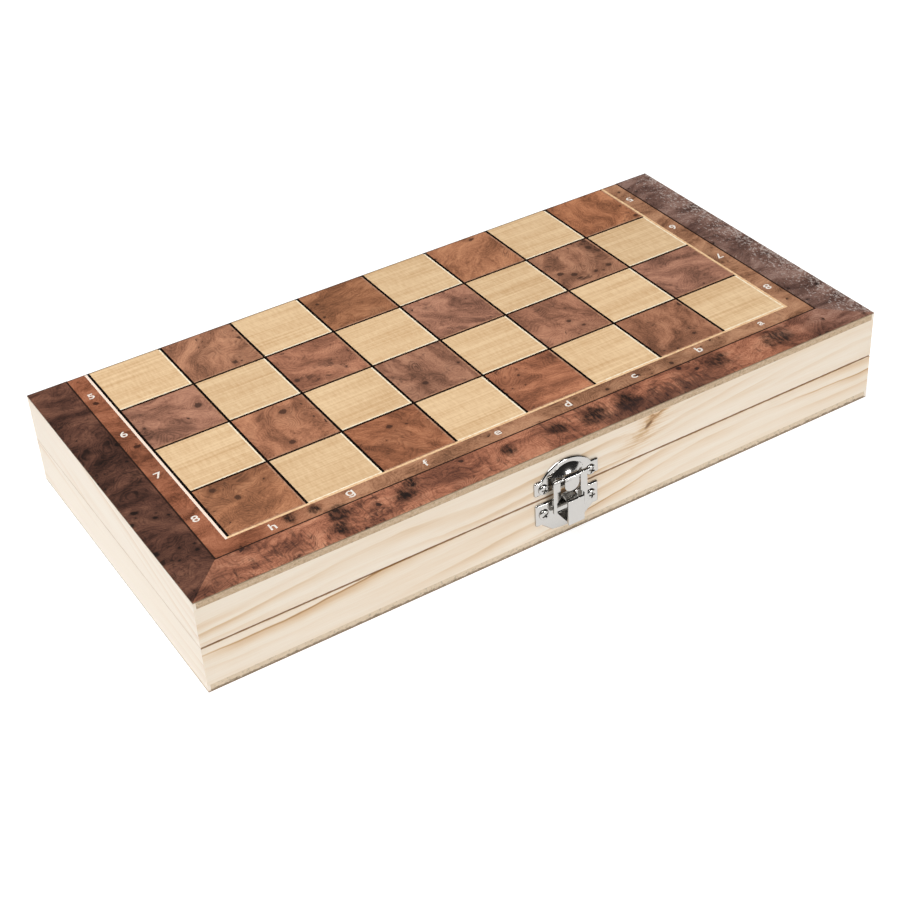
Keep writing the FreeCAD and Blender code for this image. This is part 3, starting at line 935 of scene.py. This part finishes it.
def moved(shape, z, scale=(1.0, 1.0, 1.0), turn=0.0):
    inputs = {"Geometry": shape, "Translation": joined(shape, 0.0, 0.0, z)}
    inputs.update({"Rotation": (0.0, 0.0, turn), "Scale": scale})
    return shape.node("GeometryNodeTransform", inputs=inputs)


def boolean(operation, inputs):
    settings = {"operation": operation, "solver": "EXACT"}
    return inputs["Mesh 2"][0].node("GeometryNodeMeshBoolean", settings, inputs)


def screw_head(start, size):
    """A flat rim with a dome on it, cut off below and crossed by two slots."""
    radius = size["Head Radius"]
    rim_height = size["Rim Height"]
    rise = size["Head Rise"]
    rim = start.node("GeometryNodeMeshCylinder", {"fill_type": "NGON"}, {
        "Vertices": HEAD_SIDES, "Radius": radius, "Depth": rim_height})
    dome = start.node("GeometryNodeMeshUVSphere", inputs={
        "Segments": HEAD_SIDES, "Rings": DOME_RINGS, "Radius": radius})
    flat = joined(start, 1.0, 1.0, (rise - rim_height) / radius)
    head = boolean("UNION", {"Mesh 2": [moved(rim, rim_height * 0.5), moved(dome, rim_height, flat)]})
    half = radius * 4.0
    below = start.node("GeometryNodeMeshCube", inputs={"Size": joined(start, half, half, half)})
    arm = joined(start, size["Cross Reach"] * 2.0, size["Cross Width"], size["Cross Depth"] * 2.0)
    bar = start.node("GeometryNodeMeshCube", inputs={"Size": arm})
    cuts = [moved(below, half * -0.5), moved(bar, rise), moved(bar, rise, turn=math.pi / 2)]
    return boolean("DIFFERENCE", {"Mesh 2": cuts, "Mesh 1": head})


def screw_cone(start, top, bottom, depth):
    return start.node("GeometryNodeMeshCone", inputs={
        "Vertices": SHANK_SIDES, "Radius Top": top, "Radius Bottom": bottom, "Depth": depth})


def screw_tree():
    tree = bpy.data.node_groups.new("cross_head_screws", "GeometryNodeTree")
    size = screw_inputs(tree)
    start = size["Places"]
    head = screw_head(start, size)
    neck_depth = size["Neck Depth"]
    neck = screw_cone(start, size["Neck Radius"], size["Shank Radius"], neck_depth)
    length = size["Shank Length"]
    shank = screw_cone(start, size["Shank Radius"], size["Shank Radius"] * TIP_SHARE, length)
    stem = [moved(neck, neck_depth * -1.0), moved(shank, (neck_depth + length) * -1.0)]
    lower = start.node("GeometryNodeJoinGeometry", inputs={"Geometry": stem})
    screw = start.node("GeometryNodeJoinGeometry", inputs={"Geometry": [head, lower]})
    turn = start.node("FunctionNodeRandomValue", {"data_type": "FLOAT_VECTOR"}, {
        0: size["Least Turn"], 1: size["Most Turn"], "Seed": size["Seed"]})
    spread = start.node("GeometryNodeInstanceOnPoints", inputs={
        "Points": start, "Instance": screw, "Rotation": turn})
    solid = start.node("GeometryNodeRealizeInstances", inputs={"Geometry": spread})
    plated = start.node("GeometryNodeSetMaterial", inputs={"Geometry": solid, "Material": size["Finish"]})
    result = tree.nodes.new("NodeGroupOutput")
    tree.links.new(plated.link, result.inputs["Screws"])
    print("screw tree", len(tree.nodes), "nodes")
    return tree


screws_by_size = screw_tree()


# %% Screws from seats
def drive_screws(node, body, places, sizes, least, most, seed):
    """Screws on the given seats in millimetres, which stand for a part's plain screws."""
    points = bpy.data.meshes.new(node + "_seats")
    points.from_pydata([Vector(place) * MM for place in places], [], [])
    holder = in_scene(bpy.data.objects.new(node + "_seats", points))
    modifier = holder.modifiers.new("screws", "NODES")
    modifier.node_group = screws_by_size
    values = {**{name: value * MM for name, value in sizes.items()},
              "Least Turn": least, "Most Turn": most, "Seed": seed, "Finish": nickel}
    for item in screws_by_size.interface.items_tree:
        if item.in_out == "INPUT" and item.name in values:
            modifier[item.identifier] = values[item.name]
    data = frozen(holder, node + "_cross")
    for polygon in data.polygons:
        polygon.use_smooth = True
    data.set_sharp_from_angle(angle=SHARP_ANGLE)
    stand_in(node + "_cross", data, body, node)
    print(node, len(places), "screws,", len(data.polygons), "faces")


# %% Latch and hinge screws
PAN_HEAD = {
    "Head Radius": 2.1, "Rim Height": 0.25, "Head Rise": 1.0, "Neck Radius": 1.0, "Neck Depth": 0.9,
    "Shank Radius": 1.0, "Shank Length": 5.0, "Cross Width": 0.72, "Cross Reach": 1.3, "Cross Depth": 0.85,
}
SUNK_HEAD = {
    "Head Radius": 1.5, "Rim Height": 0.01, "Head Rise": 0.04, "Neck Radius": 1.48, "Neck Depth": 0.8,
    "Shank Radius": 0.68, "Shank Length": 4.4, "Cross Width": 0.4, "Cross Reach": 0.9, "Cross Depth": 0.45,
}
UPRIGHT = math.pi / 2
MOST_TURN = 1.4
for node, body, seed in (("latch_hasp_plate_screws", "lid", 3), ("latch_catch_plate_screws", "base", 8)):
    low, high = box_mm(node)
    seat_y = low.y + PAN_HEAD["Head Rise"]
    reach = high.x - PAN_HEAD["Head Radius"]
    height = (low.z + high.z) / 2
    seats = [(-reach, seat_y, height), (reach, seat_y, height)]
    drive_screws(node, body, seats, PAN_HEAD, (UPRIGHT, 0.0, 0.0), (UPRIGHT, MOST_TURN, 0.0), seed)
leaf_low, leaf_high = box_mm("hinge_right_base_leaf")
for body, facing, seed in (("base", 0.0, 5), ("lid", math.pi, 6)):
    node = body + "_hinge_screws"
    low, high = box_mm(node)
    seat_z = high.z if body == "base" else low.z
    middle_y = (low.y + high.y) / 2
    outer = high.x - SUNK_HEAD["Head Radius"]
    inner = leaf_low.x + leaf_high.x - outer
    seats = [(x, middle_y, seat_z) for x in (-outer, -inner, inner, outer)]
    drive_screws(node, body, seats, SUNK_HEAD, (facing, 0.0, 0.0), (facing, 0.0, MOST_TURN), seed)

# %% [markdown]
# ## Letters and numbers
# The band carries white lower-case letters along the front and numbers along both ends, as on any
# chessboard. Text objects are turned into meshes first and then moved onto the band, because a
# finished piece keeps its place in its mesh.

# %% Letters and numbers
LETTER_HEIGHT = 3.4
CAPITAL_SHARE = 0.7
LETTER_WIDTH = 1.2
LETTER_THICK = 0.03
LETTER_BOLD = 0.06
LETTER_INSET = 4.1
NUMBER_INSET = 4.4
LETTER_WELD = 1e-7


def sign(character):
    """A character as a thin flat mesh in millimetres."""
    data = bpy.data.curves.new("sign", "FONT")
    data.body = character
    data.size = LETTER_HEIGHT / CAPITAL_SHARE
    data.extrude = LETTER_THICK / 2
    data.offset = LETTER_BOLD
    text = bpy.data.objects.new("sign", data)
    mesh = bpy.data.meshes.new_from_object(text)
    bpy.data.objects.remove(text)
    bpy.data.curves.remove(data)
    return mesh


def lettering(name, signs, facing):
    """One piece of (character, x, y, turn, height) signs; facing turns them to a tray's outside."""
    made = bmesh.new()
    for character, x, y, turn, height in signs:
        mesh = sign(character)
        xs = [vertex.co.x for vertex in mesh.vertices]
        ys = [vertex.co.y for vertex in mesh.vertices]
        middle = Vector(((min(xs) + max(xs)) / 2, (min(ys) + max(ys)) / 2, 0))
        place = Matrix.Translation((x, y, height)) @ facing @ Matrix.Rotation(turn, 4, "Z")
        wide = Matrix.Diagonal((LETTER_WIDTH, 1.0, 1.0, 1.0))
        mesh.transform(Matrix.Scale(MM, 4) @ place @ wide @ Matrix.Translation(-middle))
        made.from_mesh(mesh)
        bpy.data.meshes.remove(mesh)
    bmesh.ops.remove_doubles(made, verts=made.verts, dist=LETTER_WELD)
    data = bpy.data.meshes.new(name)
    made.to_mesh(data)
    made.free()
    print(name, len(data.polygons), "faces")
    return in_scene(bpy.data.objects.new(name, data))


def board_signs(ranks, height, upright_side):
    """Signs of one half board; its numbers stand upright on one end and are turned on the other."""
    signs = []
    turned = {upright_side: 0.0, -upright_side: math.pi}
    front_y = FIELD_FRONT - LETTER_INSET
    for column, character in enumerate("h\u0261fedcba"):
        signs.append((character, FIELD_LEFT + (column + 0.5) * SQUARE, front_y, 0.0, height))
    for row, character in enumerate(ranks):
        y = FIELD_BACK - (row + 0.5) * SQUARE
        for end in (-1, 1):
            signs.append((character, end * (NUMBER_INSET - FIELD_LEFT), y, turned[end], height))
    return signs


def paint_white(place):
    worn = noise(place, 0.7, 3.0)
    return {"Base Color": ramp(worn, [(0.25, tone(226, 206, 186)), (0.5, tone(246, 240, 232))])}


white_paint = finish("white_lettering", paint_white, Roughness=0.55)
under = box_mm("base_coordinate_band")[0].z
for name, body, signs, facing in (
    ("lid_lettering", "lid", board_signs("5678", band_high.z, -1), Matrix.Identity(4)),
    ("base_lettering", "base", board_signs("4321", under, 1), Matrix.Rotation(math.pi, 4, "Y")),
):
    letters = lettering(name, signs, facing)
    letters.data.materials.append(white_paint)
    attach(letters, body)

# %% [markdown]
# ## Floor and light
# The photograph has a bare white ground and hardly any shadow. A pale floor that glows a little does
# that, and upright metal mirrors it. A broad soft light hangs overhead, a weaker one stands on the
# left, and a low narrow one fills the front. The room stays dim, so that metal that looks up is dark.

# %% Floor
FLOOR_SIZE = 6.0
FLOOR_DROP = 0.0002
FLOOR_GLOW = 0.88
WHITE = (1.0, 1.0, 1.0, 1.0)


def make_floor():
    half = FLOOR_SIZE / 2
    corners = [(-half, -half, 0), (half, -half, 0), (half, half, 0), (-half, half, 0)]
    data = bpy.data.meshes.new("floor")
    data.from_pydata(corners, [], [(0, 1, 2, 3)])
    floor = in_scene(bpy.data.objects.new("floor", data))
    floor.location.z = cad_box[0][2] - FLOOR_DROP
    return floor


def paint_floor(place):
    mist = noise(place, 400.0, 2.0)
    return {"Base Color": ramp(mist, [(0.3, tone(160, 160, 160)), (0.7, tone(166, 166, 166))])}


floor = make_floor()
glow = {"Emission_Color": WHITE, "Emission_Strength": FLOOR_GLOW}
floor_white = finish("white_floor", paint_floor, Roughness=0.9, **glow)
floor.data.materials.append(floor_white)

# %% Light
ROOM_GLOW = 0.03


def softbox(name, place, size, watts, share=1.0):
    """A soft light that looks at the board; its height is a share of its width."""
    data = bpy.data.lights.new(name, "AREA")
    data.shape = "ELLIPSE"
    data.size = size
    data.size_y = size * share
    data.energy = watts
    light = in_scene(bpy.data.objects.new(name, data))
    light.location = place
    light.rotation_euler = (-Vector(place)).to_track_quat("-Z", "Y").to_euler()


softbox("overhead_light", (-0.5, -0.1, 1.7), size=1.3, watts=32)
softbox("left_light", (-1.7, 0.15, 0.8), size=1.0, watts=4.5)
softbox("front_fill", (0.72, -1.95, 0.36), size=0.5, watts=9, share=0.3)
room = bpy.data.worlds.new("room")
room.use_nodes = True
backdrop = room.node_tree.nodes["Background"].inputs
backdrop["Color"].default_value = WHITE
backdrop["Strength"].default_value = ROOM_GLOW
bpy.context.scene.world = room
bpy.context.scene.view_settings.view_transform = "Standard"
print("floor and", len(bpy.data.lights), "lights")
